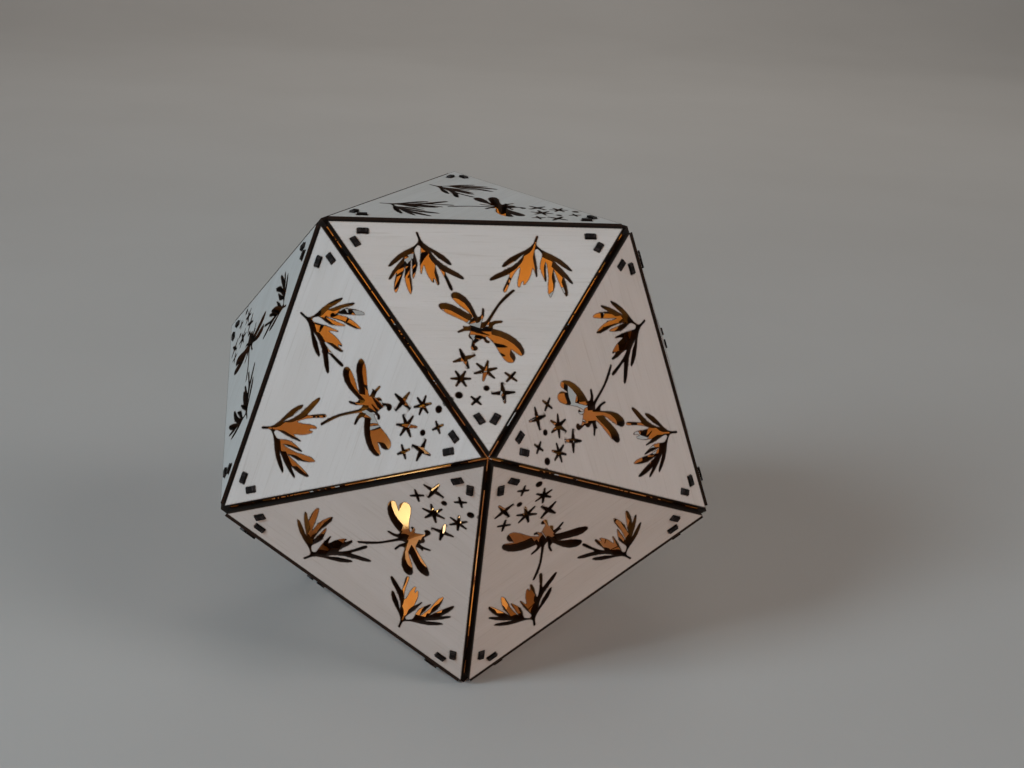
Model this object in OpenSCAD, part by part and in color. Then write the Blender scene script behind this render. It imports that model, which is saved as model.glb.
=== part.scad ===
// Twenty-sided plywood lantern: laser-cut triangular panels with sprig, dragonfly and star cut-outs,
// keyed together by small flat clips, with a battery candle standing inside on the base panel.
// Origin: middle of the base panel's outer face, Z up, front corner toward -Y.

/* [Body] */
// Edge of the twenty-sided outline, corner to corner along the outer faces, mm
edge_len = 90; // [80:1:120]
// Thickness of the plywood sheet, mm
sheet_t = 3.0; // [2.5:0.1:3.5]
// Distance from the ideal edge line to a panel's cut edge, mm
panel_inset = 1.3; // [1.2:0.05:2.0]

/* [Clips] */
// Distance of a slot's centre from the ideal edge line, mm
slot_off = 4.5; // [4.3:0.1:4.8]
// Distance of a slot's centre from the corner, measured along the edge, mm
slot_along = 12.1; // [12:0.1:16]
// Slot length along the edge, mm
slot_l = 3.2; // [2.8:0.1:3.6]
// Slot width across the edge, mm
slot_w = 1.8; // [1.6:0.1:2.0]
// Gap between a tab and its slot on each side, mm
slot_gap = 0.1; // [0.05:0.05:0.2]
// How far the tabs stand proud of the outer faces, mm
tab_proud = 0.6; // [0.2:0.1:1.0]
// Depth of a clip's bridge behind the panels, mm
clip_depth = 4.0; // [3:0.5:6]

/* [Cut-outs] */
// Size of the sprigs, dragonfly and stars against the drawn size
pattern_scale = 1.0; // [0.9:0.05:1.0]
// Turn allowed between two segments on a rounded bend of the cut-outs, degrees
bend_turn = 30; // [16:2:40]

/* [Candle] */
// Outer diameter of the candle cup, mm
cup_d = 38; // [36:1:44]
// Height of the candle cup, mm
cup_h = 17; // [16:1:22]
// Wall of the candle cup, mm
cup_wall = 1.2; // [1.0:0.1:1.6]
// Height of the flame above the cup's rim, mm
flame_h = 17; // [12:1:24]
// Largest diameter of the flame, mm
flame_d = 9.5; // [8:0.5:12]
// Travel of the on/off slider, mm
switch_travel = 2.0; // [1.5:0.5:2.5]

/* [Hidden] */
$fn = 72;
phi = (1 + sqrt(5)) / 2;
// Radii and heights of the four levels of corners
ring_small = edge_len / sqrt(3);
ring_large = edge_len * phi / sqrt(3);
level_out = edge_len * phi * phi / (2 * sqrt(3));
level_in = edge_len / (2 * sqrt(3) * phi);
// Half of the bend between two neighbouring panels
bend = (180 - acos(-sqrt(5) / 3)) / 2;
in_r = edge_len / (2 * sqrt(3));
// Corners as azimuth and level: three on top, three high, three low, three at the base
corner_at = [
    [-150, 3], [-30, 3], [90, 3], [-90, 2], [30, 2], [150, 2],
    [-150, 1], [-30, 1], [90, 1], [-90, 0], [30, 0], [150, 0]
];
ring_r = [ring_small, ring_large, ring_large, ring_small];
ring_z = [-level_out, -level_in, level_in, level_out];
corner = [for (c = corner_at) [
    ring_r[c[1]] * cos(c[0]), ring_r[c[1]] * sin(c[0]), ring_z[c[1]]
]];
candle_z = sheet_t;
eps = 0.01;

wood = [0.80, 0.71, 0.58];
char_brown = [0.16, 0.11, 0.08];
wax = [0.93, 0.89, 0.80];

// ---- Cut-out outlines, on a panel with its star corner down and its middle at 0,0 ----
// A point is [x, y] for a rounded bend or [x, y, 0] for a sharp one.

// Right sprig, drawn from its node
sprig = [
    [0.7, 3.7], [1.65, 3.5], [1.15, 2.0], [0.6, 0.5],
    [1.5, -0.8], [2.6, -1.6], [4.0, -2.4], [6.3, -3.5], [8.4, -5.4], [10.2, -7.4],
    [10.7, -8.6], [9.9, -8.8], [8.4, -7.8], [6.8, -6.4], [5.3, -5.0, 0],
    [7.0, -7.0], [8.6, -9.0], [9.7, -10.8], [10.7, -12.8], [10.0, -13.2], [8.8, -12.0],
    [7.8, -10.5, 0],
    [8.5, -12.4], [8.9, -14.8], [8.8, -17.0], [8.0, -17.5], [7.2, -15.6], [6.4, -13.2],
    [5.8, -11.0], [4.9, -7.8, 0],
    [5.4, -10.2], [5.5, -12.6], [4.9, -15.0], [4.3, -16.9], [3.6, -17.9], [3.0, -17.1],
    [2.7, -15.0], [3.3, -12.2], [3.4, -9.5], [3.1, -7.4], [3.1, -5.4, 0],
    [2.9, -8.0], [3.0, -10.5], [2.9, -12.5], [2.3, -12.5], [1.8, -10.6], [1.1, -8.6],
    [1.0, -6.6], [1.6, -4.8], [2.05, -3.1], [1.8, -2.2], [0.8, -1.2, 0],
    [0.15, -1.5], [0.0, -2.4], [0.3, -4.2], [0.5, -7.0], [0.4, -9.4], [0.4, -10.9],
    [-0.3, -10.9], [-0.4, -9.4], [-0.9, -7.8, 0],
    [-1.2, -9.4], [-1.8, -11.2], [-2.5, -12.4], [-3.2, -13.6], [-4.2, -13.8],
    [-3.9, -12.2, 0], [-4.5, -13.0], [-4.8, -14.6], [-5.6, -14.6], [-5.9, -13.0],
    [-5.2, -10.4], [-4.7, -8.8], [-4.6, -7.6, 0],
    [-5.8, -9.0], [-6.8, -11.0], [-7.8, -13.2], [-8.6, -15.8], [-9.4, -16.5],
    [-10.1, -15.8], [-9.3, -13.6], [-8.1, -11.2], [-7.6, -10.0, 0],
    [-9.0, -10.8], [-11.0, -11.7], [-13.2, -12.7], [-13.8, -11.9], [-12.6, -10.6],
    [-10.8, -9.5], [-8.4, -8.3], [-6.2, -6.8], [-4.4, -5.0], [-3.1, -2.9, 0],
    [-4.6, -4.6], [-6.0, -5.8], [-7.6, -6.8], [-9.1, -7.9], [-9.9, -7.6], [-9.7, -6.7],
    [-8.4, -5.1], [-6.4, -3.5], [-4.0, -2.3], [-1.8, -0.9], [-0.5, 0.4], [-0.1, 1.4],
    [0.35, 2.6]
];
node_right = [16.2, 17.8];
node_left = [-16.55, 18.1];
// Where the dragonfly's drawing sits on the panel
fly_at = [0.15, -0.3];

// Dragonfly, from the tip of its tail clockwise
dragonfly = [
    [9.2, 3.2], [9.9, 2.5], [8.9, 1.6], [7.2, -0.3], [5.8, -1.7], [4.7, -3.2], [3.5, -5.4],
    [2.6, -7.0], [2.0, -8.2, 0],
    [2.9, -7.7], [4.0, -7.35], [5.9, -7.5], [5.5, -8.5], [4.0, -8.6], [3.2, -9.0],
    [2.8, -9.6], [2.9, -10.2, 0],
    [4.0, -10.5], [6.2, -11.2], [8.2, -12.6], [9.8, -14.0], [10.9, -15.8], [11.4, -17.6],
    [11.0, -18.8], [10.0, -19.2], [9.0, -18.3], [7.3, -16.9, 0],
    [8.2, -17.8], [8.8, -19.4], [8.4, -20.9], [7.4, -21.5], [6.0, -21.2], [4.8, -19.6],
    [3.9, -17.8], [3.1, -15.8], [2.0, -14.1], [0.7, -12.8, 0],
    [0.8, -13.5], [1.1, -14.0], [1.9, -14.3], [1.6, -15.25], [0.5, -15.1], [-0.05, -14.3],
    [-0.2, -13.6, 0],
    [-0.9, -14.1], [-1.8, -14.8], [-2.4, -15.2], [-2.5, -15.8], [-1.9, -16.0],
    [-1.5, -16.8], [-2.2, -17.7], [-3.3, -17.6], [-3.9, -16.8], [-3.6, -15.6],
    [-3.4, -14.6], [-3.2, -14.0],
    [-4.0, -13.7], [-4.4, -12.7], [-4.0, -11.9], [-3.6, -11.2, 0],
    [-4.8, -11.2], [-5.8, -11.5], [-7.0, -12.1], [-7.5, -11.4], [-6.5, -10.7],
    [-5.6, -10.3, 0], [-5.7, -9.5, 0], [-4.6, -9.6], [-3.5, -9.4, 0],
    [-4.6, -8.4], [-6.6, -7.4], [-9.0, -6.2], [-11.2, -4.9], [-12.4, -3.4], [-12.2, -2.3],
    [-11.0, -1.8], [-9.2, -2.0], [-7.6, -2.8], [-5.4, -4.4], [-3.0, -5.9, 0],
    [-5.0, -4.1], [-6.6, -2.7], [-8.0, -1.2], [-8.9, 0.4], [-8.3, 1.6], [-7.0, 1.9],
    [-5.2, 1.0], [-3.6, -0.8], [-2.5, -3.2], [-1.8, -5.2], [-1.3, -6.5, 0],
    [-0.4, -6.0], [-0.25, -4.8], [-0.1, -3.4], [0.7, -3.5], [0.75, -5.4], [0.35, -6.9],
    [-0.3, -8.3, 0],
    [0.8, -7.8], [1.5, -6.8], [2.6, -4.8], [3.8, -2.9], [5.1, -0.8], [6.6, 0.8], [8.0, 2.2]
];

// Stars: middle, number of points, reach, turn
stars = [
    [[-5.5, -20.4], 4, 3.3, 20], [[0.2, -24.2], 6, 3.35, 16], [[-6.7, -26.8], 6, 2.8, 0],
    [[7.1, -26.0], 4, 2.1, 50], [[4.75, -31.1], 4, 3.25, 5], [[-2.8, -33.6], 4, 1.85, 47]
];
// Half width of a star's arm at its tip, and the width burnt back from the drawn lines
star_tip = 0.14;
cut_in = 0.22;
// Round holes: middle and radius
dots = [[[0.2, -29.7], 0.75], [[-7.4, -32.0], 0.95]];

// Closed line through the middles of its legs, with a parabola at every rounded bend,
// the more segments the sharper the bend turns
function turn_at(s, q, e) =
    acos(max(-1, min(1, (q - s) * (e - q) / (norm(q - s) * norm(e - q)))));
function soft(p) = [
    for (i = [0 : len(p) - 1])
        let (n = len(p), a = p[(i + n - 1) % n], b = p[(i + 1) % n], q = [p[i][0], p[i][1]],
             s = [a[0] + q[0], a[1] + q[1]] / 2, e = [b[0] + q[0], b[1] + q[1]] / 2,
             steps = min(4, ceil(turn_at(s, q, e) / bend_turn)))
            each (len(p[i]) == 3 ? [q] : [
                for (k = [0 : steps])
                    let (t = k / steps)
                        if (k > 0 || len(a) == 3)
                            s * (1 - t) * (1 - t) + q * 2 * t * (1 - t) + e * t * t
            ])
];
function star(c, n, r, turn) = [
    for (i = [0 : n - 1], k = [-1, 1, 0])
        let (w = k == 0 ? 180 / n : k * asin(star_tip / r),
             reach = k == 0 ? r * (n == 4 ? 0.26 : 0.30) : r,
             a = turn + i * 360 / n + w)
            c + reach * [cos(a), sin(a)]
];
// The same line drawn clockwise, moved inwards by d
function shrink(p, d) = [
    for (i = [0 : len(p) - 1])
        let (n = len(p), t = p[(i + 1) % n] - p[(i + n - 1) % n])
            p[i] + d * [t[1], -t[0]] / norm(t)
];
function placed(p, at, sx, sy) = [for (q = p) at + [q[0] * sx, q[1] * sy]];
function flip(p, hand) = [for (q = p) [q[0] * hand, q[1]] * pattern_scale * edge_len / 90];
function slot_loop(a, side) = [
    for (k = [[-1, -1], [1, -1], [1, 1], [-1, 1]])
        let (x = side * (edge_len / 2 - slot_along) + k[0] * slot_l / 2,
             y = in_r - slot_off + k[1] * slot_w / 2)
            [x * cos(a) - y * sin(a), x * sin(a) + y * cos(a)]
];
panel_r = 2 * (in_r - panel_inset);

// ---- Panels ----
// Hand is 1 for the cut-outs as drawn, -1 for mirrored and 0 for a panel without them
function cut_outs(hand) = concat(
    [flip(placed(shrink(soft(sprig), cut_in), node_right, 1, 1), hand)],
    [flip(placed(shrink(soft(sprig), cut_in), node_left, -0.89, 1.01), hand)],
    [flip(placed(shrink(soft(dragonfly), cut_in), fly_at, 1, 1), hand)],
    [for (s = stars) flip(star(s[0], s[1], s[2], s[3]), hand)]
);
function loops(hand) = concat(
    [[for (a = [90, 210, 330]) let (b = a + 180) panel_r * [cos(b), sin(b)]]],
    hand == 0 ? [] : cut_outs(hand),
    [for (a = [0, 120, 240], side = [-1, 1]) slot_loop(a, side)]
);
function starts(l, i) = i == 0 ? 0 : len(l[i - 1]) + starts(l, i - 1);

module on_face(s, p, q) {
    c = (corner[s] + corner[p] + corner[q]) / 3;
    z = c / norm(c);
    y = (c - corner[s]) / norm(c - corner[s]);
    x = cross(y, z);
    multmatrix([
        [x[0], y[0], z[0], c[0]], [x[1], y[1], z[1], c[1]],
        [x[2], y[2], z[2], c[2] + level_out], [0, 0, 0, 1]
    ]) children();
}

module panel(s, p, q, hand) {
    l = loops(hand);
    k = pattern_scale * edge_len / 90;
    color(wood) on_face(s, p, q) translate([0, 0, -sheet_t]) difference() {
        linear_extrude(height = sheet_t)
            polygon([for (r = l) each r],
                    [for (i = [0 : len(l) - 1]) [for (j = [0 : len(l[i]) - 1]) starts(l, i) + j]]);
        if (hand != 0) for (d = dots)
            translate([d[0][0] * hand * k, d[0][1] * k, -1])
                cylinder(r = d[1] * k, h = sheet_t + 2, $fn = 36);
    }
}

// ---- Clips ----
tab_in = slot_off - slot_w / 2 + slot_gap;
tab_out = slot_off + slot_w / 2 - slot_gap;
clip_end = slot_off + 1.4;
function across(m, d, h) = [m * (d * cos(bend) - h * sin(bend)), d * sin(bend) + h * cos(bend)];

module clip_profile(proud_a, proud_b) {
    polygon([
        [0, sheet_t / cos(bend)],
        across(1, tab_in, sheet_t), across(1, tab_in, -proud_a), across(1, tab_out, -proud_a),
        across(1, tab_out, sheet_t), across(1, clip_end, sheet_t),
        across(1, clip_end - 0.8, sheet_t + clip_depth),
        [0, (sheet_t + clip_depth) / cos(bend)],
        across(-1, clip_end - 0.8, sheet_t + clip_depth),
        across(-1, clip_end, sheet_t), across(-1, tab_out, sheet_t),
        across(-1, tab_out, -proud_b), across(-1, tab_in, -proud_b), across(-1, tab_in, sheet_t)
    ]);
}

// Clip across the edge from corner i to corner j, at the end near corner i
module clip(i, j) {
    e = (corner[j] - corner[i]) / edge_len;
    m = (corner[i] + corner[j]) / 2;
    y = -m / norm(m);
    x = cross(y, e);
    o = corner[i] + e * slot_along;
    base_edge = i >= 9 && j >= 9;
    base_a = base_edge && x * (-m + [0, 0, -level_out]) > 0;
    base_b = base_edge && !base_a;
    multmatrix([
        [x[0], y[0], e[0], o[0]], [x[1], y[1], e[1], o[1]],
        [x[2], y[2], e[2], o[2] + level_out], [0, 0, 0, 1]
    ])
        translate([0, 0, -slot_l / 2 + slot_gap])
            linear_extrude(height = slot_l - 2 * slot_gap)
                clip_profile(base_a ? 0 : tab_proud, base_b ? 0 : tab_proud);
}

module clips(i) {
    color(char_brown)
        for (j = [0 : 11])
            if (j != i && norm(corner[j] - corner[i]) < 1.2 * edge_len)
                clip(i, j);
}

// ---- Candle ----
cup_r = cup_d / 2;
plate_r = cup_r - cup_wall + 0.6;
cell_r = 10;
cell_z = candle_z + 2.3;
board_z = candle_z + 8.4;
dish_z = candle_z + cup_h - 2.6;
hatch_r = 12;
screw_at = [-13.6, 0];
switch_at = [0, -14.2];

module candle_cup() {
    color(wax) translate([0, 0, candle_z]) difference() {
        union() {
            rotate_extrude() polygon([
                [plate_r, 0], [cup_r - 0.5, 0], [cup_r, 0.5], [cup_r - 0.3, cup_h - 1.0],
                [cup_r - 1.2, cup_h], [cup_r - 2.4, cup_h - 0.4], [cup_r - 4.6, cup_h - 2.2],
                [6.2, cup_h - 2.6], [5.4, cup_h - 1.6], [4.2, cup_h - 1.6], [4.2, cup_h - 4.4],
                [cup_r - 5.0, cup_h - 3.8], [cup_r - cup_wall, cup_h - 4.6],
                [cup_r - cup_wall, 2.4], [plate_r, 2.4]
            ]);
            for (s = [-1, 1])
                translate([0, s * 7, board_z - candle_z + 1.0])
                    cylinder(r = 1.4, h = cup_h - 3.6 - (board_z - candle_z + 1.0));
        }
    }
}

module candle_floor() {
    color(wax) difference() {
        union() {
            translate([0, 0, candle_z + 0.8]) cylinder(r = plate_r, h = 1.6);
            translate([0, 0, candle_z + 2.3]) difference() {
                cylinder(r = cell_r + 1.5, h = 3.6);
                translate([0, 0, -1]) cylinder(r = cell_r + 0.3, h = 6);
                translate([5, -2.5, 0.6]) cube([8, 5, 6]);
            }
        }
        translate([0, 0, candle_z]) cylinder(r = cell_r + 0.3, h = 4);
        translate([screw_at[0] - 2.6, -2.8, candle_z]) cube([6, 5.6, 1.8]);
        translate([screw_at[0], screw_at[1], candle_z]) cylinder(r = 0.8, h = 4, $fn = 24);
        translate([switch_at[0] - 1.1, switch_at[1] - 1.1, candle_z])
            cube([2.2 + switch_travel, 2.2, 4]);
    }
}

module battery_door() {
    color(wax) difference() {
        union() {
            translate([0, 0, candle_z + 0.8]) cylinder(r = cell_r + 0.1, h = 1.2);
            translate([screw_at[0] - 2.4, -2.6, candle_z + 0.8]) cube([6, 5.2, 1.0]);
        }
        translate([screw_at[0], screw_at[1], candle_z]) cylinder(r = 1.1, h = 4, $fn = 24);
        for (x = [-1.5, 0, 1.5])
            translate([x + 4 - 0.3, -3, candle_z + 0.7]) cube([0.6, 6, 0.4]);
    }
}

module door_screw() {
    color([0.75, 0.76, 0.78]) translate([screw_at[0], screw_at[1], candle_z]) difference() {
        union() {
            translate([0, 0, 0.2]) cylinder(r1 = 1.5, r2 = 1.9, h = 0.6, $fn = 36);
            translate([0, 0, 0.7]) cylinder(r = 0.8, h = 3.2, $fn = 24);
        }
        for (a = [0, 90])
            rotate([0, 0, a]) translate([-0.9, -0.17, 0]) cube([1.8, 0.34, 0.5]);
    }
}

module coin_cell() {
    color([0.80, 0.81, 0.82]) translate([0, 0, cell_z]) {
        cylinder(r = cell_r, h = 2.6);
        translate([0, 0, 2.5]) cylinder(r = cell_r - 1.6, h = 0.7);
    }
}

module cell_top_spring() {
    top = cell_z + 3.2;
    color([0.78, 0.70, 0.45]) {
        translate([-5, -1.5, top]) cube([6, 3, 0.3]);
        translate([-5, -1.5, top]) cube([0.3, 3, board_z - top]);
    }
}

module cell_side_spring() {
    color([0.78, 0.70, 0.45]) {
        translate([cell_r, -1.5, cell_z + 0.6]) cube([0.3, 3, board_z - cell_z - 0.6]);
        translate([7, -1.5, board_z - 0.3]) cube([cell_r - 7 + 0.1, 3, 0.3]);
    }
}

module circuit_board() {
    color([0.10, 0.32, 0.20]) translate([0, 0, board_z]) difference() {
        cylinder(r = 11, h = 1.0);
        translate([-12, 9, -1]) cube([24, 6, 3]);
        translate([-12, -15, -1]) cube([24, 6, 3]);
    }
}

module led() {
    color([0.98, 0.80, 0.45]) translate([0, 0, board_z + 1.0]) {
        cylinder(r = 2.9, h = 1.0, $fn = 48);
        cylinder(r = 2.5, h = 5.6, $fn = 48);
        translate([0, 0, 5.6]) sphere(r = 2.5, $fn = 48);
    }
}

// Half outline of the flame from its neck to its tip: a short swell, then a pointed arch
function flame_half(neck, r, z, swell, h) = concat(
    [for (k = [0 : 3]) [neck + (r - neck) * sin(k * 30), z + swell * k / 3]],
    [for (k = [1 : 12])
        let (u = k / 12 * h, arch = (h * h + r * r) / (2 * r))
            [k == 12 ? 0 : sqrt(arch * arch - u * u) - arch + r, z + swell + u]]
);

module flame_lens() {
    seat = candle_z + cup_h - 4.4;
    neck_z = candle_z + cup_h - 1.2;
    inner = flame_half(3.1, flame_d / 2 - 1.1, neck_z, 3, flame_h - 4);
    outer = flame_half(4.1, flame_d / 2, neck_z, 3, flame_h - 1.8);
    color([1.0, 0.70, 0.28]) rotate_extrude()
        polygon(concat(
            [[5.2, seat - 0.8], [5.2, seat], [4.1, seat]],
            outer,
            [for (k = [len(inner) - 1 : -1 : 0]) inner[k]],
            [[3.1, seat - 0.8]]
        ));
}

module switch_slider() {
    color([0.12, 0.12, 0.13]) {
        translate([switch_at[0] - 2.4, switch_at[1] - 1.6, candle_z + 2.4]) cube([4.8, 3.2, 1.4]);
        translate([switch_at[0] - 1.0, switch_at[1] - 1.0, candle_z + 0.3]) cube([2.0, 2.0, 2.2]);
    }
}

panel(1, 0, 2, -1);  // panel_lid
panel(3, 0, 1, 1);  // panel_top_front
panel(4, 1, 2, -1);  // panel_top_right
panel(5, 2, 0, 1);  // panel_top_left
panel(3, 0, 6, -1);  // panel_high_front_left
panel(3, 1, 7, -1);  // panel_high_front_right
panel(4, 1, 7, 1);  // panel_high_right
panel(4, 2, 8, -1);  // panel_high_back_right
panel(5, 2, 8, 1);  // panel_high_back_left
panel(5, 0, 6, 1);  // panel_high_left
panel(3, 6, 9, 1);  // panel_low_front_left
panel(3, 7, 9, 1);  // panel_low_front_right
panel(4, 7, 10, -1);  // panel_low_right
panel(4, 8, 10, -1);  // panel_low_back_right
panel(5, 8, 11, -1);  // panel_low_back_left
panel(5, 6, 11, 1);  // panel_low_left
panel(9, 6, 11, 0);  // panel_under_left
panel(10, 7, 9, 0);  // panel_under_right
panel(11, 8, 10, 0);  // panel_under_back
panel(9, 10, 11, 0);  // panel_base
clips(0);  // clips_lid_front_left
clips(1);  // clips_lid_front_right
clips(2);  // clips_lid_back
clips(3);  // clips_upper_front
clips(4);  // clips_upper_right
clips(5);  // clips_upper_left
clips(6);  // clips_lower_left
clips(7);  // clips_lower_right
clips(8);  // clips_lower_back
clips(9);  // clips_base_front
clips(10);  // clips_base_right
clips(11);  // clips_base_left
candle_cup();
candle_floor();
battery_door();
door_screw();
coin_cell();
cell_top_spring();
cell_side_spring();
circuit_board();
led();
flame_lens();
switch_slider();
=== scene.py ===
"""Plywood icosahedral lantern: laser-cut panels, clips and a battery candle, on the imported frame."""
import math
import random

import bmesh
import bpy
import numpy as np
from mathutils import Matrix, Vector
from mathutils.geometry import delaunay_2d_cdt


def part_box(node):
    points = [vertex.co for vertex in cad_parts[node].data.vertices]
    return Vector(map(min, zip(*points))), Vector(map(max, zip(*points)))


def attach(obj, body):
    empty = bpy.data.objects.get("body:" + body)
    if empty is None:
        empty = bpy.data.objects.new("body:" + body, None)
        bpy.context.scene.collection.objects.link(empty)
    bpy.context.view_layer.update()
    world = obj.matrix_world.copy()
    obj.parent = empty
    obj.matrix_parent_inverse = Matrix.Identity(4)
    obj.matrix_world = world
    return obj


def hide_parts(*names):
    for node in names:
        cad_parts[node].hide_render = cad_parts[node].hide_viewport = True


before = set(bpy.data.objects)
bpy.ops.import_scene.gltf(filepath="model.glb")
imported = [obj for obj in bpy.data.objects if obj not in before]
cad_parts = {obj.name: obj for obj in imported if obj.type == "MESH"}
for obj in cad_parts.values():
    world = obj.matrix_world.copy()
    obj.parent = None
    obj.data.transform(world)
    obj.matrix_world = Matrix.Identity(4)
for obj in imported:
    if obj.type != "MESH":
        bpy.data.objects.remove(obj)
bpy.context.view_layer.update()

MM = 0.001
PHI = (1 + math.sqrt(5)) / 2

# The icosahedron's size comes from the lid panel: its outer face is the top of the body.
TOP_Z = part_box("panel_lid")[1].z
SHEET_T = TOP_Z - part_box("panel_lid")[0].z
EDGE = TOP_Z * math.sqrt(3) / PHI ** 2
MIDDLE = Vector((0, 0, TOP_Z / 2))

# Corners of the icosahedron as (azimuth in degrees, level), levels 3 to 0 from the top down.
CORNERS = [
    (-150, 3), (-30, 3), (90, 3), (-90, 2), (30, 2), (150, 2),
    (-150, 1), (-30, 1), (90, 1), (-90, 0), (30, 0), (150, 0),
]
# Each panel: its corner with the stars, its two others, and the drawing's hand (0: no cut-outs).
PANELS = {
    "panel_lid": (1, 0, 2, -1),
    "panel_top_front": (3, 0, 1, 1),
    "panel_top_right": (4, 1, 2, -1),
    "panel_top_left": (5, 2, 0, 1),
    "panel_high_front_left": (3, 0, 6, -1),
    "panel_high_front_right": (3, 1, 7, -1),
    "panel_high_right": (4, 1, 7, 1),
    "panel_high_back_right": (4, 2, 8, -1),
    "panel_high_back_left": (5, 2, 8, 1),
    "panel_high_left": (5, 0, 6, 1),
    "panel_low_front_left": (3, 6, 9, 1),
    "panel_low_front_right": (3, 7, 9, 1),
    "panel_low_right": (4, 7, 10, -1),
    "panel_low_back_right": (4, 8, 10, -1),
    "panel_low_back_left": (5, 8, 11, -1),
    "panel_low_left": (5, 6, 11, 1),
    "panel_under_left": (9, 6, 11, 0),
    "panel_under_right": (10, 7, 9, 0),
    "panel_under_back": (11, 8, 10, 0),
    "panel_base": (9, 10, 11, 0),
}
PATTERN_PANEL, PLAIN_PANEL = "panel_top_front", "panel_base"   # the two that outlines are read from
SAME_POINT = 2e-6   # points closer than this are one point
CLIP_NODES = sorted(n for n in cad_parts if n.startswith("clips_"))


# ---------------------------------------------------------------- camera

CAMERA_FROM_MIDDLE = (-0.5746, -5.5011, 1.9001)   # in panel edges
CAMERA_YAW, CAMERA_PITCH, CAMERA_ROLL = -7.835, -17.827, 3.194
LENS_MM, SENSOR_MM = 58.56, 36.0
CLIP_NEAR, CLIP_FAR = 0.01, 20


def make_camera():
    data = bpy.data.cameras.new("camera")
    data.lens, data.sensor_width = LENS_MM, SENSOR_MM
    data.clip_start, data.clip_end = CLIP_NEAR, CLIP_FAR
    cam = bpy.data.objects.new("camera", data)
    bpy.context.scene.collection.objects.link(cam)
    turn = (
        Matrix.Rotation(math.radians(CAMERA_YAW), 4, "Z")
        @ Matrix.Rotation(math.radians(90 + CAMERA_PITCH), 4, "X")
        @ Matrix.Rotation(math.radians(CAMERA_ROLL), 4, "Z")
    )
    cam.matrix_world = Matrix.Translation(MIDDLE + EDGE * Vector(CAMERA_FROM_MIDDLE)) @ turn
    bpy.context.scene.camera = cam
    bpy.context.scene.view_settings.view_transform = "Standard"


# ---------------------------------------------------------------- node materials

class Shader:
    """A principled material and short ways to add nodes to it. Noise scales are waves per metre."""

    def __init__(self, name, **constants):
        self.mat = bpy.data.materials.new(name)
        self.mat.use_nodes = True
        self.nodes, self.links = self.mat.node_tree.nodes, self.mat.node_tree.links
        self.bsdf = self.nodes["Principled BSDF"]
        for socket, value in constants.items():
            self.bsdf.inputs[socket.replace("_", " ")].default_value = value

    def add(self, kind, inputs=(), **settings):
        node = self.nodes.new("ShaderNode" + kind)
        for key, value in settings.items():
            setattr(node, key, value)
        for key, value in dict(inputs).items():
            self.feed(node.inputs[key], value)
        return node

    def feed(self, socket, value):
        if isinstance(value, bpy.types.NodeSocket):
            self.links.new(value, socket)
        else:
            socket.default_value = value

    def set(self, **inputs):
        for socket, value in inputs.items():
            self.feed(self.bsdf.inputs[socket.replace("_", " ")], value)

    def attribute(self, name, out="Vector"):
        return self.add("Attribute", attribute_name=name).outputs[out]

    def place(self):
        """The point's place in the row frame, since every node's object sits at the origin."""
        return self.add("TexCoord").outputs["Object"]

    def height(self, vector):
        return self.add("SeparateXYZ", {0: vector}).outputs["Z"]

    def stretch(self, vector, scale):
        return self.add("VectorMath", {0: vector, 1: scale}, operation="MULTIPLY").outputs[0]

    def noise(self, vector, scale=(1, 1, 1), detail=3.0, roughness=0.55, distortion=0.0):
        return self.add("TexNoise", {
            "Vector": self.stretch(vector, scale), "Scale": 1.0, "Detail": detail,
            "Roughness": roughness, "Distortion": distortion,
        }).outputs["Fac"]

    def ramp(self, factor, low, high, to_low=0.0, to_high=1.0):
        return self.add("MapRange", {
            "Value": factor, "From Min": low, "From Max": high,
            "To Min": to_low, "To Max": to_high,
        }).outputs[0]

    def mix(self, factor, a, b, blend="MIX"):
        node = self.add("Mix", data_type="RGBA", blend_type=blend)
        self.feed(node.inputs[0], factor)
        self.feed(node.inputs[6], a if isinstance(a, bpy.types.NodeSocket) else (*a, 1))
        self.feed(node.inputs[7], b if isinstance(b, bpy.types.NodeSocket) else (*b, 1))
        return node.outputs[2]

    def maths(self, operation, a, b=0.0, c=0.0):
        return self.add("Math", {0: a, 1: b, 2: c}, operation=operation).outputs[0]

    def bump(self, height, strength, distance):
        node = self.add("Bump", {"Height": height, "Strength": strength, "Distance": distance})
        self.links.new(node.outputs[0], self.bsdf.inputs["Normal"])


BIRCH_PALE = (0.635, 0.590, 0.545)
BIRCH_DARK = (0.580, 0.530, 0.480)
BIRCH_LINE = (0.480, 0.420, 0.360)
BIRCH_PORE = (0.360, 0.290, 0.225)
INNER_FACE_TINT = (0.78, 0.66, 0.48)   # darker, more orange tint multiplied over the sheets' inner face
SCORCHED = (0.210, 0.125, 0.070)
CHAR = (0.016, 0.010, 0.007)
# Waves per metre along and across the grain.
BROAD_GRAIN, STREAKS, FINE_LINES, PORES = (12, 100, 1), (38, 640, 1), (55, 1300, 1), (330, 5200, 1)
RAGGED_BURN = (1600, 1600, 1)


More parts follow.
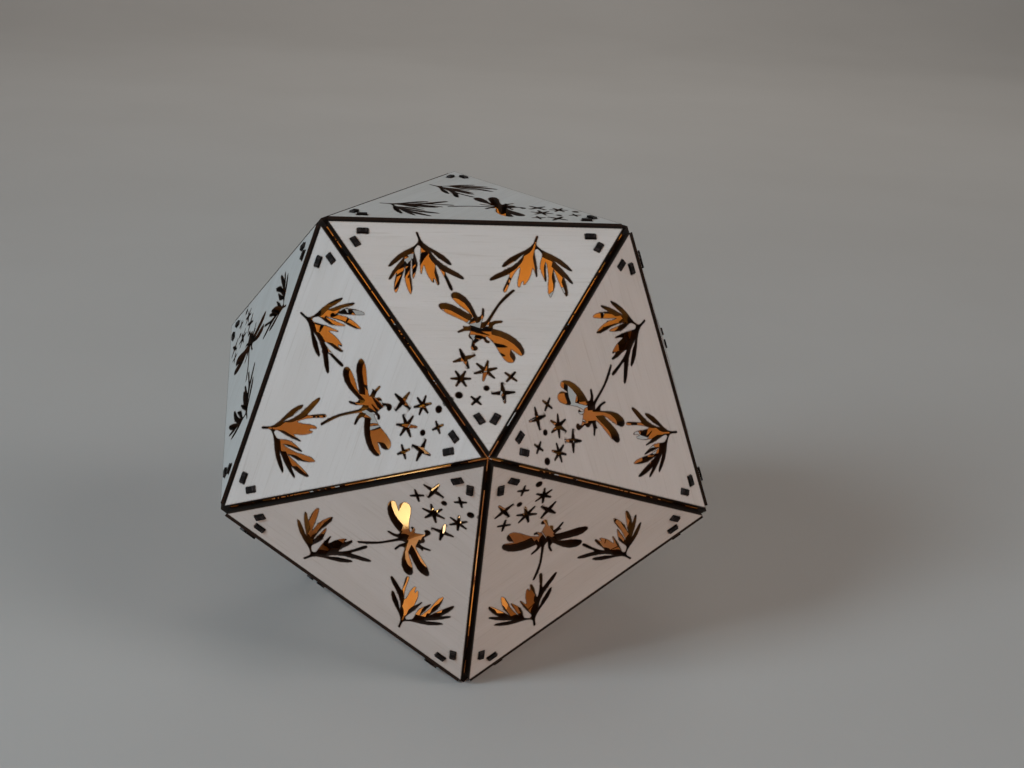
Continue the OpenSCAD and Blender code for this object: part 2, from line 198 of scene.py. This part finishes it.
def birch_face():
    """Outer and inner veneers: long fine grain along the sheet's X, and a burnt rim at every cut."""
    s = Shader("birch_face", Roughness=0.6)
    grain = s.attribute("grain")
    broad = s.noise(grain, BROAD_GRAIN, detail=3, distortion=0.5)
    streak = s.noise(grain, STREAKS, detail=4, roughness=0.6, distortion=0.3)
    lines = s.noise(grain, FINE_LINES, detail=2, roughness=0.5, distortion=0.2)
    pores = s.noise(grain, PORES, detail=2)
    wood = s.mix(s.ramp(broad, 0.30, 0.72), BIRCH_PALE, BIRCH_DARK)
    wood = s.mix(s.ramp(streak, 0.46, 0.78, 0.0, 0.6), wood, BIRCH_DARK)
    wood = s.mix(s.ramp(lines, 0.58, 0.74, 0.0, 0.5), wood, BIRCH_LINE)
    wood = s.mix(s.ramp(pores, 0.66, 0.80, 0.0, 0.4), wood, BIRCH_PORE)
    depth = s.height(grain)
    # The inner face is darkened and warmed by a flat tint.
    inner = s.ramp(depth, -0.9 * SHEET_T, -0.6 * SHEET_T, 1.0, 0.0)
    wood = s.mix(inner, wood, INNER_FACE_TINT, "MULTIPLY")
    cut = s.attribute("char", "Fac")
    ragged = s.noise(grain, RAGGED_BURN, detail=2)
    burn = s.maths("ADD", cut, s.ramp(ragged, 0.3, 0.7, -0.10, 0.10))
    wood = s.mix(s.ramp(burn, 0.06, 0.45, 0.0, 0.55), wood, SCORCHED)
    wood = s.mix(s.ramp(burn, 0.50, 0.80), wood, CHAR)
    s.set(Base_Color=wood)
    s.set(Roughness=s.ramp(streak, 0.3, 0.8, 0.50, 0.68))
    s.bump(s.maths("ADD", streak, s.maths("MULTIPLY", pores, -0.5)), 0.35, 0.00012)
    return s.mat


VENEER_CHAR = ((0.016, 0.009, 0.006), (0.036, 0.020, 0.012))   # dark and light of the burnt veneers
CORE_CHAR = ((0.009, 0.006, 0.004), (0.018, 0.011, 0.007))
BEAM_STRIATIONS = (2600, 2600, 60)


def burnt_cut():
    """Laser-cut walls: charred, with the core ply a little darker than the veneers."""
    s = Shader("burnt_cut", Roughness=0.7, Specular_IOR_Level=0.2)
    grain = s.attribute("grain")
    depth = s.height(grain)
    layer = s.maths("PINGPONG", s.maths("DIVIDE", depth, SHEET_T), 0.5)
    core = s.ramp(layer, 0.24, 0.28)
    striations = s.noise(grain, BEAM_STRIATIONS, detail=2)
    veneer = s.mix(s.ramp(striations, 0.35, 0.75), *VENEER_CHAR)
    middle = s.mix(s.ramp(striations, 0.35, 0.75), *CORE_CHAR)
    s.set(Base_Color=s.mix(core, veneer, middle))
    s.set(Roughness=s.ramp(striations, 0.3, 0.7, 0.62, 0.85))
    s.bump(striations, 0.4, 0.00008)
    return s.mat


TAB_CHAR = ((0.010, 0.007, 0.006), (0.050, 0.038, 0.036))
TAB_CORE, TAB_SOOT, TAB_RIM_CHAR = (0.007, 0.005, 0.004), (0.010, 0.008, 0.007), (0.007, 0.005, 0.004)
TAB_BANDS, SOOT_SPECKS = (300, 300, 3200), (700, 700, 700)


def tab_end():
    """Cut ends of the clips: charred grey-brown veneers with a blacker core ply."""
    s = Shader("tab_end", Roughness=0.62, Specular_IOR_Level=0.08)
    grain = s.attribute("grain")
    depth = s.height(grain)
    bands = s.noise(grain, TAB_BANDS, detail=3)
    soot = s.noise(grain, SOOT_SPECKS, detail=2)
    layer = s.maths("PINGPONG", s.maths("DIVIDE", depth, SHEET_T), 0.5)
    plies = s.mix(s.ramp(bands, 0.35, 0.7), *TAB_CHAR)
    plies = s.mix(s.ramp(layer, 0.22, 0.28, 0.0, 0.85), plies, TAB_CORE)
    plies = s.mix(s.ramp(soot, 0.45, 0.75, 0.0, 0.8), plies, TAB_SOOT)
    rim = s.attribute("char", "Fac")
    s.set(Base_Color=s.mix(s.ramp(rim, 0.25, 0.7), plies, TAB_RIM_CHAR))
    s.set(Roughness=s.ramp(soot, 0.3, 0.7, 0.45, 0.75))
    s.bump(bands, 0.35, 0.0001)
    return s.mat


CREAM = ((0.80, 0.74, 0.62), (0.72, 0.64, 0.50))
CUP_PAINTED_GLOW_AMBER = ((1.0, 0.42, 0.09), (1.0, 0.36, 0.06))
CUP_PAINTED_GLOW = 0.40   # painted glow: the cup's side emits as if lit through from inside
GLOW_FULL_BELOW, GLOW_NONE_BELOW = 3.5 * MM, 2.0 * MM   # under the cup's top


def candle_plastic():
    """Cream moulded plastic with a faint mottle, a waxy body and a painted amber glow below the cup's
    rim.
    """
    s = Shader("candle_plastic", Roughness=0.42, Subsurface_Weight=0.12, Subsurface_Scale=0.004)
    where = s.place()
    mottle = s.noise(where, (160, 160, 160), detail=4)
    fine = s.noise(where, (2400, 2400, 2400), detail=2)
    s.set(Base_Color=s.mix(s.ramp(mottle, 0.3, 0.7), *CREAM))
    s.set(Roughness=s.ramp(mottle, 0.3, 0.7, 0.36, 0.52))
    height = s.height(where)
    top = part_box("candle_cup")[1].z
    # Painted glow: the plastic emits amber light everywhere lower than just under the cup's top, though
    # it is no lamp.
    s.set(Emission_Color=s.mix(s.ramp(mottle, 0.3, 0.7), *CUP_PAINTED_GLOW_AMBER))
    s.set(Emission_Strength=s.ramp(height, top - GLOW_FULL_BELOW, top - GLOW_NONE_BELOW, CUP_PAINTED_GLOW, 0.0))
    s.bump(fine, 0.15, 0.00008)
    return s.mat


FROSTED_AMBER = ((0.95, 0.60, 0.25), (0.85, 0.50, 0.18))
FLAME_LIGHT = ((1.0, 0.88, 0.64), (1.0, 0.60, 0.22))   # at the foot and at the tip
FLAME_STRENGTH, FLAME_TIP = 2.4, 0.5                    # and the tip's share of it
FLAME_FOOT, FOOT_LOW, FOOT_HIGH = 0.12, 5 * MM, 9 * MM  # the share that the collar lets through


def flame_plastic():
    """Frosted amber flame, dim inside the collar, brightest just over it and fading to the tip."""
    s = Shader("flame_plastic", Roughness=0.35)
    where = s.place()
    height = s.height(where)
    low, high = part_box("flame_lens")
    frost = s.noise(where, (900, 900, 500), detail=3)
    s.set(Base_Color=s.mix(s.ramp(frost, 0.3, 0.7), *FROSTED_AMBER))
    s.set(Emission_Color=s.mix(s.ramp(height, low.z, high.z), *FLAME_LIGHT))
    foot = s.ramp(height, low.z + FOOT_LOW, low.z + FOOT_HIGH, FLAME_FOOT, 1.0)
    fade = s.ramp(height, low.z, high.z, FLAME_STRENGTH, FLAME_TIP * FLAME_STRENGTH)
    s.set(Emission_Strength=s.maths("MULTIPLY", foot, fade))
    s.bump(frost, 0.2, 0.0001)
    return s.mat


EPOXY = ((0.95, 0.62, 0.20), (0.85, 0.48, 0.12))
LED_LIGHT = ((1.0, 0.35, 0.05), (1.0, 0.6, 0.2))   # at its foot and at its tip
LED_FOOT, LED_TIP = 0.4, 6.0


def led_epoxy():
    """Clear amber epoxy, brightest at the tip."""
    s = Shader("led_epoxy", Roughness=0.12, Coat_Weight=0.4)
    where = s.place()
    height = s.height(where)
    low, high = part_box("led")
    cloud = s.noise(where, (700, 700, 700), detail=2)
    s.set(Base_Color=s.mix(s.ramp(cloud, 0.3, 0.7), *EPOXY))
    s.set(Emission_Color=s.mix(s.ramp(height, low.z, high.z), *LED_LIGHT))
    s.set(Emission_Strength=s.ramp(height, low.z, high.z, LED_FOOT, LED_TIP))
    return s.mat


def worn_metal(name, bright, dull, rough, brush):
    """Plated or brushed metal: fine lines, smoother in places, and dull patches."""
    s = Shader(name, Metallic=1.0)
    where = s.place()
    lines = s.noise(where, brush, detail=3)
    patch = s.noise(where, (300, 300, 300), detail=3)
    s.set(Base_Color=s.mix(s.ramp(patch, 0.4, 0.7), bright, dull))
    s.set(Roughness=s.ramp(lines, 0.3, 0.7, rough, rough + 0.22))
    s.bump(lines, 0.12, 0.00003)
    return s.mat


TRACK_GREEN, BOARD_GREEN = (0.075, 0.26, 0.12), (0.028, 0.145, 0.062)
WEAVE_GREEN = (0.02, 0.10, 0.05)


def circuit_green():
    """Solder-masked board with faint copper tracks under the mask."""
    s = Shader("circuit_green", Roughness=0.3, Coat_Weight=0.3)
    where = s.place()
    weave = s.noise(where, (1800, 1800, 200), detail=2)
    tracks = s.add("TexBrick", {
        "Vector": s.stretch(where, (220, 220, 1)), "Scale": 1.0, "Mortar Size": 0.06,
        "Color1": (1, 1, 1, 1), "Color2": (0.8, 0.8, 0.8, 1), "Mortar": (0, 0, 0, 1),
    }).outputs["Color"]
    mask = s.mix(tracks, TRACK_GREEN, BOARD_GREEN)
    s.set(Base_Color=s.mix(s.ramp(weave, 0.3, 0.7, 0.0, 0.3), mask, WEAVE_GREEN))
    s.set(Roughness=s.ramp(weave, 0.3, 0.7, 0.24, 0.38))
    s.bump(weave, 0.1, 0.00005)
    return s.mat


BLACK_PLASTIC = ((0.022, 0.022, 0.024), (0.040, 0.040, 0.042))


def switch_plastic():
    """Black plastic with a fine spark-eroded grain."""
    s = Shader("switch_plastic")
    where = s.place()
    grain = s.noise(where, (3500, 3500, 3500), detail=2)
    s.set(Base_Color=s.mix(s.ramp(grain, 0.35, 0.7), *BLACK_PLASTIC))
    s.set(Roughness=s.ramp(grain, 0.3, 0.7, 0.40, 0.60))
    s.bump(grain, 0.3, 0.00005)
    return s.mat


# ---------------------------------------------------------------- panels

def corner_place(index):
    """An ideal corner of the icosahedron, in the row frame."""
    azimuth, level = CORNERS[index]
    small, large = EDGE / math.sqrt(3), EDGE * PHI / math.sqrt(3)
    far, near = EDGE * PHI ** 2 / (2 * math.sqrt(3)), EDGE / (2 * math.sqrt(3) * PHI)
    radius = (small, large, large, small)[level]
    height = (-far, -near, near, far)[level]
    turn = math.radians(azimuth)
    return MIDDLE + Vector((radius * math.cos(turn), radius * math.sin(turn), height))


def panel_place(name):
    """Matrix to the row frame from the panel's own: stars down, outward +Z, outer face at z=0."""
    star, left, right = (corner_place(i) for i in PANELS[name][:3])
    centre = (star + left + right) / 3
    z = (centre - MIDDLE).normalized()
    y = (centre - star).normalized()
    x = y.cross(z)
    place = Matrix((x, y, z)).transposed().to_4x4()
    place.translation = centre
    return place


OUTER_FACE_FLAT = 1e-5   # how far off the outer face's plane a point on it may be


def cut_loops(name):
    """Outlines of the panel's outer face from its CAD mesh: the sheet's edge and every cut-out."""
    bm = bmesh.new()
    bm.from_mesh(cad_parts[name].data)
    bm.transform(panel_place(name).inverted())
    bmesh.ops.remove_doubles(bm, verts=bm.verts, dist=SAME_POINT)
    outer = {f for f in bm.faces if all(abs(v.co.z) < OUTER_FACE_FLAT for v in f.verts)}
    follow = {}
    for face in (f for f in bm.faces if f in outer):
        for loop in face.loops:
            if len([f for f in loop.edge.link_faces if f in outer]) == 1:
                follow[loop.vert.index] = (loop.link_loop_next.vert.index, loop.vert.co.xy.copy())
    loops = []
    while follow:
        start = at = next(iter(follow))
        loop = []
        while at in follow:
            at, point = follow.pop(at)
            loop.append((point.x, point.y))
        assert at == start, "an outline does not close"
        loops.append(np.array(loop))
    bm.free()
    return sorted(loops, key=len)


EDGE_STEP = 1.5 * MM


def divided(loop):
    """The loop with points added along its long straight runs."""
    points = []
    for a, b in zip(loop, np.roll(loop, -1, axis=0)):
        parts = max(1, math.ceil(np.linalg.norm(b - a) / EDGE_STEP))
        points += [a + (b - a) * k / parts for k in range(parts)]
    return np.array(points)


def distance_to(points, loops):
    """Distance of each point from the nearest cut."""
    nearest = np.full(len(points), np.inf)
    for loop in loops:
        a, b = loop, np.roll(loop, -1, axis=0)
        leg = b - a
        t = np.einsum("pnk,nk->pn", points[:, None] - a[None], leg) / (leg ** 2).sum(1)
        foot = a[None] + np.clip(t, 0, 1)[..., None] * leg[None]
        nearest = np.minimum(nearest, np.linalg.norm(points[:, None] - foot, axis=2).min(1))
    return nearest


LEVEL_LEG = 1e-12   # stands in for the rise of a level leg, which no point's line crosses


def in_wood(points, loops):
    """Whether each point lies on the sheet and in no cut-out."""
    inside = np.zeros(len(points), bool)
    for loop in loops:
        a, b = loop, np.roll(loop, -1, axis=0)
        x, y = points[:, 0:1], points[:, 1:2]
        spans = (a[:, 1] > y) != (b[:, 1] > y)
        rise = np.where(b[:, 1] == a[:, 1], LEVEL_LEG, b[:, 1] - a[:, 1])
        cross = a[:, 0] + (y - a[:, 1]) * (b[:, 0] - a[:, 0]) / rise
        inside ^= (spans & (x < cross)).sum(1) % 2 == 1
    return inside


RIM_ROWS = (0.20 * MM, 0.50 * MM)
RIM_CLEAR = 0.8 * RIM_ROWS[0]   # a point this close to another cut is left out
SHORTEST_SIDE = 1e-6
GRID_STEP, GRID_CLEAR = 2.4 * MM, 1.2 * MM
GRID_DOWN = 0.05 * EDGE         # the grid's shift towards the stars
CHAR_REACH = 0.16 * MM


def wood_side(loop):
    """For each point of a loop, the unit direction into the wood."""
    ahead = np.roll(loop, -1, axis=0) - loop
    ahead /= np.linalg.norm(ahead, axis=1)[:, None]
    side = np.stack([-ahead[:, 1], ahead[:, 0]], 1)
    side = side + np.roll(side, 1, axis=0)
    return side / np.maximum(np.linalg.norm(side, axis=1), SHORTEST_SIDE)[:, None]


def rim_points(loops):
    """Rows of points beside every cut, on the wood side, so that the burnt rim fades smoothly."""
    points = np.concatenate([loop + wood_side(loop) * row for row in RIM_ROWS for loop in loops])
    return points[(distance_to(points, loops) > RIM_CLEAR) & in_wood(points, loops)]


def grid_points(loops):
    """A square grid of points over the rest of the wood."""
    steps = np.arange(-EDGE / 2, EDGE / 2, GRID_STEP)
    points = np.array([(x, y) for x in steps for y in steps - GRID_DOWN])
    return points[in_wood(points, loops) & (distance_to(points, loops) > GRID_CLEAR)]


WHOLE_HULL, WELD = 0, 1e-7   # the triangulation's output type, and how near points are one


class Sheet:
    """One cut sheet in its own frame: its face's mesh, its walls and how burnt each point is."""

    def __init__(self, loops):
        edges, start = [], 0
        for loop in loops:
            n = len(loop)
            edges += [(start + i, start + (i + 1) % n) for i in range(n)]
            start += n
        points = np.concatenate([*loops, rim_points(loops), grid_points(loops)])
        flat, _, faces, source, *_ = delaunay_2d_cdt(
            [Vector(p) for p in points], edges, [], WHOLE_HULL, WELD)
        flat = np.array([tuple(p) for p in flat])
        faces = np.array(faces)
        faces = faces[in_wood(flat[faces].mean(1), loops)]
        home = {old: new for new, olds in enumerate(source) for old in olds}
        self.flat = flat
        self.faces = faces
        self.walls = [(home[a], home[b]) for a, b in edges]
        self.char = np.exp(-distance_to(flat, loops) / CHAR_REACH)


GRAIN_SHIFT = 1.0   # how far a piece's grain is moved at most, so that no two are alike
SHEET_SHARP = math.radians(32)


def sheet_mesh(name, sheet, seed):
    """The sheet's mesh on a panel's place, with its grain and char as attributes."""
    n = len(sheet.flat)
    local = np.concatenate([
        np.column_stack([sheet.flat, np.full(n, z)]) for z in (0.0, -SHEET_T)])
    place = np.array(panel_place(name))
    world = local @ place[:3, :3].T + place[:3, 3]
    up = [tuple(f) for f in sheet.faces]
    down = [tuple(n + f[::-1]) for f in sheet.faces]
    walls = [(b, a, n + a, n + b) for a, b in sheet.walls]
    mesh = bpy.data.meshes.new(name)
    mesh.from_pydata(world.tolist(), [], [tuple(map(int, f)) for f in up + down + walls])
    mesh.polygons.foreach_set("material_index", [0] * (len(up) * 2) + [1] * len(walls))
    draw = random.Random(seed)
    shift = np.array([draw.uniform(-GRAIN_SHIFT, GRAIN_SHIFT) for _ in range(2)] + [0])
    grain = mesh.attributes.new("grain", "FLOAT_VECTOR", "POINT")
    grain.data.foreach_set("vector", (local + shift).astype(np.float32).ravel())
    char = mesh.attributes.new("char", "FLOAT", "POINT")
    char.data.foreach_set("value", np.tile(sheet.char, 2).astype(np.float32))
    return mesh


def make_panels(face, wall):
    """Every panel as a fine sheet on its CAD node's place."""
    drawn = [divided(loop) for loop in cut_loops(PATTERN_PANEL)]
    plain = [divided(loop) for loop in cut_loops(PLAIN_PANEL)]
    mirrored = [loop[::-1] * (-1, 1) for loop in drawn]
    sheets = {1: Sheet(drawn), -1: Sheet(mirrored), 0: Sheet(plain)}
    for seed, (name, (*_, hand)) in enumerate(PANELS.items()):
        mesh = sheet_mesh(name, sheets[hand], seed)
        mesh.materials.append(face)
        mesh.materials.append(wall)
        mesh.shade_smooth()
        mesh.set_sharp_from_angle(angle=SHEET_SHARP)
        piece = bpy.data.objects.new(name + "_sheet", mesh)
        bpy.context.scene.collection.objects.link(piece)
        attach(piece, "lid" if name == "panel_lid" else "shell")
        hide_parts(name)


# ---------------------------------------------------------------- clips

def islands(bm):
    """The separate solids of a mesh, as lists of faces, always in the mesh's own order."""
    left = dict.fromkeys(bm.faces)
    while left:
        seed = next(iter(left))
        del left[seed]
        group, queue = [seed], [seed]
        while queue:
            for edge in queue.pop().edges:
                for other in edge.link_faces:
                    if other in left:
                        del left[other]
                        group.append(other)
                        queue.append(other)
        yield group


CLIP_SEED = 100                   # the first clip's, after the panels' own seeds
SAME_WAY = 0.999                  # cosine over which two directions count as one
ALMOST_FLAT = math.radians(1)     # edges this flat are dissolved
CLIP_CHAR = 0.9
TAB_RIM = 0.30 * MM
TAB_PROUD = 0.1 * MM              # a face this far over the panels is a tab's end
SOFT_EDGE, SOFT_STEPS, SOFT_OVER = 0.10 * MM, 2, math.radians(40)


def clip_axis(faces):
    """The clip's flat sides face along the panel edge: the direction with the most area."""
    totals = []
    for face in faces:
        for entry in totals:
            if abs(entry[0].dot(face.normal)) > SAME_WAY:
                entry[1] += face.calc_area()
                break
        else:
            totals.append([face.normal.copy(), face.calc_area()])
    return max(totals, key=lambda entry: entry[1])[0]


def grain_clip(group, grain, char, draw):
    """Gives one clip its grain, its char and its two materials."""
    axis = clip_axis(group)
    across = axis.orthogonal().normalized()
    along = axis.cross(across)
    verts = {v for f in group for v in f.verts}
    far = max(v.co.dot(axis) for v in verts)
    shift = Vector((
        draw.uniform(-GRAIN_SHIFT, GRAIN_SHIFT), draw.uniform(-GRAIN_SHIFT, GRAIN_SHIFT), -far))
    for v in verts:
        v[grain] = Vector((v.co.dot(across), v.co.dot(along), v.co.dot(axis))) + shift
        v[char] = CLIP_CHAR
    for f in group:
        f.material_index = 0 if abs(f.normal.dot(axis)) > SAME_WAY else 1


def rim_tab_ends(bm, char):
    """Gives the tabs' proud ends a burnt border."""
    proud = [f for f in bm.faces
             if (f.calc_center_median() - MIDDLE).dot(f.normal) > TOP_Z / 2 + TAB_PROUD]
    bmesh.ops.inset_individual(bm, faces=proud, thickness=TAB_RIM, use_even_offset=True)
    for v in {v for f in proud for v in f.verts}:
        v[char] = 0.0


def clip_mesh(name, draw):
    """The node's clips, read from its CAD mesh, with their grain and burnt ends."""
    bm = bmesh.new()
    bm.from_mesh(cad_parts[name].data)
    bmesh.ops.remove_doubles(bm, verts=bm.verts, dist=SAME_POINT)
    bmesh.ops.dissolve_limit(bm, angle_limit=ALMOST_FLAT, verts=bm.verts, edges=bm.edges)
    grain = bm.verts.layers.float_vector.new("grain")
    char = bm.verts.layers.float.new("char")
    for group in islands(bm):
        grain_clip(group, grain, char, draw)
    rim_tab_ends(bm, char)
    mesh = bpy.data.meshes.new(name)
    bm.to_mesh(mesh)
    bm.free()
    return mesh


def make_clips(face, ends):
    """Each corner's five clips, with their cut edges softened."""
    for seed, name in enumerate(CLIP_NODES):
        mesh = clip_mesh(name, random.Random(CLIP_SEED + seed))
        mesh.materials.append(face)
        mesh.materials.append(ends)
        piece = bpy.data.objects.new(name + "_cut", mesh)
        bpy.context.scene.collection.objects.link(piece)
        soften = piece.modifiers.new("soften", "BEVEL")
        soften.width, soften.segments = SOFT_EDGE, SOFT_STEPS
        soften.limit_method, soften.angle_limit = "ANGLE", SOFT_OVER
        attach(piece, "shell")
        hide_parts(name)


# ---------------------------------------------------------------- candle

BRASS = ((0.72, 0.58, 0.32), (0.50, 0.38, 0.20))
CELL_STEEL = ((0.72, 0.73, 0.75), (0.55, 0.56, 0.58))
SCREW_STEEL = ((0.66, 0.67, 0.70), (0.42, 0.43, 0.46))


def finish_candle():
    """The candle's CAD nodes keep their shapes and get real materials in their own slots."""
    plastic = candle_plastic()
    brass = worn_metal("spring_brass", *BRASS, 0.22, (200, 3000, 200))
    steel = worn_metal("cell_steel", *CELL_STEEL, 0.20, (150, 2500, 150))
    screw = worn_metal("screw_steel", *SCREW_STEEL, 0.28, (900, 900, 900))
    looks = {
        "candle_cup": plastic, "candle_floor": plastic, "battery_door": plastic,
        "door_screw": screw, "coin_cell": steel,
        "cell_top_spring": brass, "cell_side_spring": brass,
        "circuit_board": circuit_green(), "led": led_epoxy(),
        "flame_lens": flame_plastic(), "switch_slider": switch_plastic(),
    }
    for node, look in looks.items():
        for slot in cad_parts[node].material_slots:
            slot.material = look


GLOW_WATTS = 0.28
GLOW_ABOVE_RIM = 6.0 * MM
GLOW_SOFTNESS = 0.15   # the source's radius as a share of the flame's width
GLOW_AMBER = (1.0, 0.38, 0.045)
# The LED's spread: how far above level (-1 straight down, 1 straight up) and how strong there.
LED_SPREAD = [(-0.35, 0.004), (-0.10, 0.04), (0.05, 0.05), (0.24, 0.13), (0.42, 0.28),
              (0.60, 0.45), (0.78, 0.95), (1.0, 1.0)]
# A paler beam leaves past the flame's foot, low over the cup's rim towards the back.
BEAM_TOWARDS = (-0.20, 0.96, -0.12)
BEAM_EDGE, BEAM_FULL = 0.945, 0.990
BEAM_LOW, BEAM_CLEAR = -0.34, -0.26
BEAM_PALE = (1.0, 0.82, 0.48, 1)


def map_range(tree, value, low, high, smooth=False):
    """The value taken from low..high to 0..1."""
    node = tree.nodes.new("ShaderNodeMapRange")
    node.interpolation_type = "SMOOTHSTEP" if smooth else "LINEAR"
    node.inputs["From Min"].default_value, node.inputs["From Max"].default_value = low, high
    tree.links.new(value, node.inputs["Value"])
    return node


def spread_colour(tree, level):
    """The LED's colour and strength at each height above level."""
    spread = tree.nodes.new("ShaderNodeValToRGB")
    stops = spread.color_ramp.elements
    stops.remove(stops[1])
    stops[0].position = (LED_SPREAD[0][0] + 1) / 2
    for up, strength in LED_SPREAD:
        stop = stops[0] if up == LED_SPREAD[0][0] else stops.new((up + 1) / 2)
        stop.color = tuple(c * strength for c in GLOW_AMBER) + (1,)
    tree.links.new(map_range(tree, level, -1.0, 1.0).outputs[0], spread.inputs["Fac"])
    return spread.outputs["Color"]


def beam_share(tree, towards, level):
    """How much of the light in a direction is the beam's, which the cup's rim cuts off below."""
    along = tree.nodes.new("ShaderNodeVectorMath")
    along.operation = "DOT_PRODUCT"
    along.inputs[1].default_value = Vector(BEAM_TOWARDS).normalized()
    tree.links.new(towards, along.inputs[0])
    beam = map_range(tree, along.outputs["Value"], BEAM_EDGE, BEAM_FULL, smooth=True)
    clear = map_range(tree, level, BEAM_LOW, BEAM_CLEAR)
    tree.links.new(clear.outputs[0], beam.inputs["To Max"])
    return beam.outputs[0]


def glow_nodes(tree):
    """Colours the light by its direction: the LED's spread with the paler beam over it."""
    towards = tree.nodes.new("ShaderNodeTexCoord").outputs["Normal"]
    split = tree.nodes.new("ShaderNodeSeparateXYZ")
    tree.links.new(towards, split.inputs[0])
    level = split.outputs["Z"]
    blend = tree.nodes.new("ShaderNodeMix")
    blend.data_type = "RGBA"
    tree.links.new(beam_share(tree, towards, level), blend.inputs["Factor"])
    tree.links.new(spread_colour(tree, level), blend.inputs["A"])
    blend.inputs["B"].default_value = BEAM_PALE
    tree.links.new(blend.outputs["Result"], tree.nodes["Emission"].inputs["Color"])


def make_glow():
    """The LED's light as it leaves the flame, which casts no shadow so that the light can sit in it."""
    low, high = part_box("flame_lens")
    data = bpy.data.lights.new("candle_glow", "POINT")
    data.energy = GLOW_WATTS
    data.shadow_soft_size = (high.x - low.x) * GLOW_SOFTNESS
    data.use_nodes = True
    glow_nodes(data.node_tree)
    glow = bpy.data.objects.new("candle_glow", data)
    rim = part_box("candle_cup")[1].z
    glow.location = ((low.x + high.x) / 2, (low.y + high.y) / 2, rim + GLOW_ABOVE_RIM)
    bpy.context.scene.collection.objects.link(glow)
    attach(glow, "candle")
    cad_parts["flame_lens"].visible_shadow = False


# ---------------------------------------------------------------- stage

FLOOR_HALF, FLOOR_FRONT, FLOOR_BACK = 3.0, -2.5, 1.6   # half its width, and its front and back ends
CURVE_RADIUS, CURVE_STEPS, WALL_TOP = 1.4, 12, 4.0      # where it curves up into the backdrop
FLOOR_PALE = ((0.55, 0.51, 0.47), (0.52, 0.48, 0.44))
FLOOR_PATCHES = (4, 4, 4)
# Each lamp: place, size, watts, colour and spread in degrees. They look at the lantern's middle.
# The two low lamps stand near the floor, so a narrow spread keeps their light off it.
LAMPS = {
    "window_left": ((-1.25, -0.80, 1.00), 0.7, 16.8, (0.66, 0.85, 1.0), 180),
    "soft_right": ((1.20, -1.00, 1.30), 0.9, 7.0, (0.95, 1.0, 1.0), 180),
    "soft_top": ((0.00, 0.10, 1.90), 1.0, 2.2, (1.0, 0.96, 0.90), 180),
    "low_right": ((1.70, -0.60, 0.50), 0.6, 0.43, (0.78, 0.86, 1.0), 60),
    "warm_front": ((0.20, -1.85, 0.34), 0.6, 0.60, (1.0, 0.44, 0.20), 60),
}
# One more lights the backdrop only.
BACK_LAMP, BACK_AIM = ((0.30, 1.00, 1.50), 0.8, 9.0, (1.0, 0.98, 0.95), 180), (0.20, 2.40, 0.30)
AIR, AIR_STRENGTH = (0.94, 0.94, 0.98, 1), 0.05


def area_light(name, aim, place, size, watts, colour, spread):
    """A round soft lamp that looks at a point."""
    data = bpy.data.lights.new(name, "AREA")
    data.shape, data.size, data.energy, data.color = "DISK", size, watts, colour
    data.spread = math.radians(spread)
    lamp = bpy.data.objects.new(name, data)
    lamp.location = place
    lamp.rotation_euler = (Vector(aim) - Vector(place)).to_track_quat("-Z", "Y").to_euler()
    bpy.context.scene.collection.objects.link(lamp)


def floor_outline():
    """The floor from the side, as (y, z) from its front end to the backdrop's top."""
    outline = [(FLOOR_FRONT, 0.0), (FLOOR_BACK, 0.0)]
    for step in range(1, CURVE_STEPS + 1):
        turn = math.pi / 2 * step / CURVE_STEPS
        outline.append((FLOOR_BACK + CURVE_RADIUS * math.sin(turn),
                        CURVE_RADIUS - CURVE_RADIUS * math.cos(turn)))
    return outline + [(FLOOR_BACK + CURVE_RADIUS, WALL_TOP)]


def floor_pale():
    """Plain pale floor with large faint patches."""
    s = Shader("floor_pale", Roughness=0.7)
    soft = s.noise(s.place(), FLOOR_PATCHES, detail=3)
    s.set(Base_Color=s.mix(s.ramp(soft, 0.3, 0.7), *FLOOR_PALE))
    return s.mat


def make_floor():
    """A pale floor that curves up into a backdrop."""
    bm = bmesh.new()
    left, right = (
        [bm.verts.new((x, y, z)) for y, z in floor_outline()] for x in (-FLOOR_HALF, FLOOR_HALF))
    for k in range(len(left) - 1):
        bm.faces.new((left[k], right[k], right[k + 1], left[k + 1]))
    mesh = bpy.data.meshes.new("floor")
    bm.to_mesh(mesh)
    bm.free()
    mesh.shade_smooth()
    mesh.materials.append(floor_pale())
    floor = bpy.data.objects.new("floor", mesh)
    bpy.context.scene.collection.objects.link(floor)


def make_light():
    """Cool light from a window on the left, softer fill elsewhere and a little from the air."""
    for name, lamp in LAMPS.items():
        area_light(name, MIDDLE, *lamp)
    area_light("back_wash", BACK_AIM, *BACK_LAMP)
    world = bpy.data.worlds.new("world")
    world.use_nodes = True
    air = world.node_tree.nodes["Background"]
    air.inputs[0].default_value, air.inputs[1].default_value = AIR, AIR_STRENGTH
    bpy.context.scene.world = world


make_camera()
BIRCH = birch_face()
make_panels(BIRCH, burnt_cut())
make_clips(BIRCH, tab_end())
finish_candle()
make_glow()
make_floor()
make_light()
